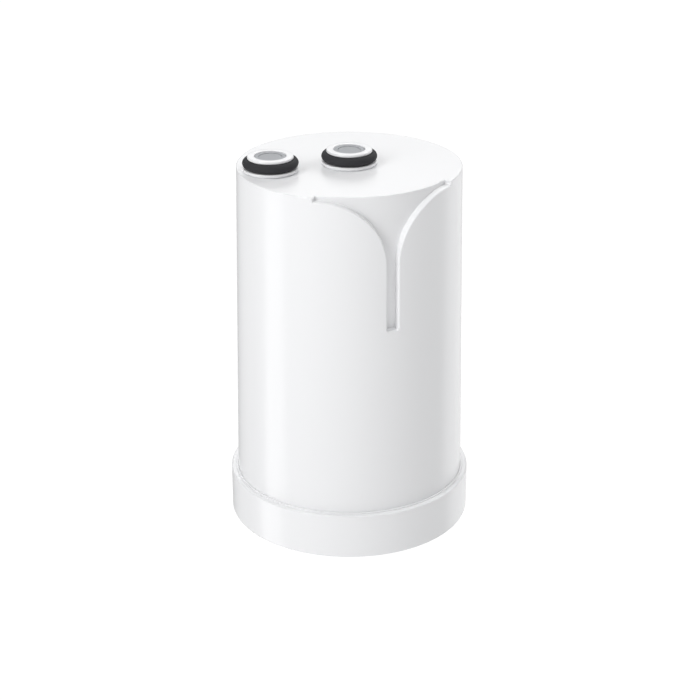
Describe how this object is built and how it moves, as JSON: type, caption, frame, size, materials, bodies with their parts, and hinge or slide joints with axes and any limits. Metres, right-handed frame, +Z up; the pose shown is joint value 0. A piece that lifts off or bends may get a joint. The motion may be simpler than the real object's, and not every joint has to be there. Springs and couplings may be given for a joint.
{
  "type": "water filter cartridge",
  "caption": "Drop-in water filter cartridge with two O-ring ports on its flat top, a funnel-shaped keyway down one side and a ring-shaped base cap.",
  "frame": {"origin": "centre of the foot, on the plane that the cartridge stands on", "axes": "+Z up along the shell's axis to the outlet port; -Y is the front, with the keyway 21.7 degrees from it towards +X and the inlet port 73.5 degrees from it towards -X"},
  "size_m": [0.0668, 0.0668, 0.1048],
  "materials": {
    "shell_white": "glossy moulded white",
    "seal_rubber": "black seal rubber, satin",
    "valve_grey": "mid-grey moulded, satin",
    "spring_steel": "drawn stainless wire",
    "element_plastic": "natural white moulded, satin",
    "netting_plastic": "extruded netting, satin",
    "fleece": "non-woven fleece",
    "carbon": "sintered carbon, matt and grainy",
    "fibre": "hollow membrane fibres",
    "resin": "cast potting resin"
  },
  "bodies": {
    "cartridge": {"outer_shell": "shell_white", "base_cap": "shell_white", "base_cap_seal": "seal_rubber", "inlet_port_o_ring": "seal_rubber", "outlet_port_o_ring": "seal_rubber", "inlet_valve_sleeve": "valve_grey", "outlet_valve_sleeve": "valve_grey", "inlet_valve_spring": "spring_steel", "outlet_valve_spring": "spring_steel", "inlet_valve_spider": "valve_grey", "outlet_valve_spider": "valve_grey", "inlet_strainer": "valve_grey", "element_top_cap": "element_plastic", "element_outlet_o_ring": "seal_rubber", "element_bottom_cap": "element_plastic", "outer_netting": "netting_plastic", "prefilter_fleece": "fleece", "carbon_block": "carbon", "core_tube": "element_plastic", "fibre_bundle": "fibre", "fibre_potting": "resin", "element_support_ring": "seal_rubber"},
    "inlet_valve": {"inlet_valve_poppet": "valve_grey", "inlet_valve_seal": "seal_rubber"},
    "outlet_valve": {"outlet_valve_poppet": "valve_grey", "outlet_valve_seal": "seal_rubber"}
  },
  "joints": [
    {"name": "inlet_valve_push", "type": "slide", "parent": "cartridge", "child": "inlet_valve", "axis": [0, 0, -1], "range_m": [0, 0.002], "stiffness_N_per_m": 500, "springref_m": -0.001, "deforming": ["inlet_valve_spring"]},
    {"name": "outlet_valve_push", "type": "slide", "parent": "cartridge", "child": "outlet_valve", "axis": [0, 0, -1], "range_m": [0, 0.002], "stiffness_N_per_m": 500, "springref_m": -0.001, "deforming": ["outlet_valve_spring"]}
  ]
}
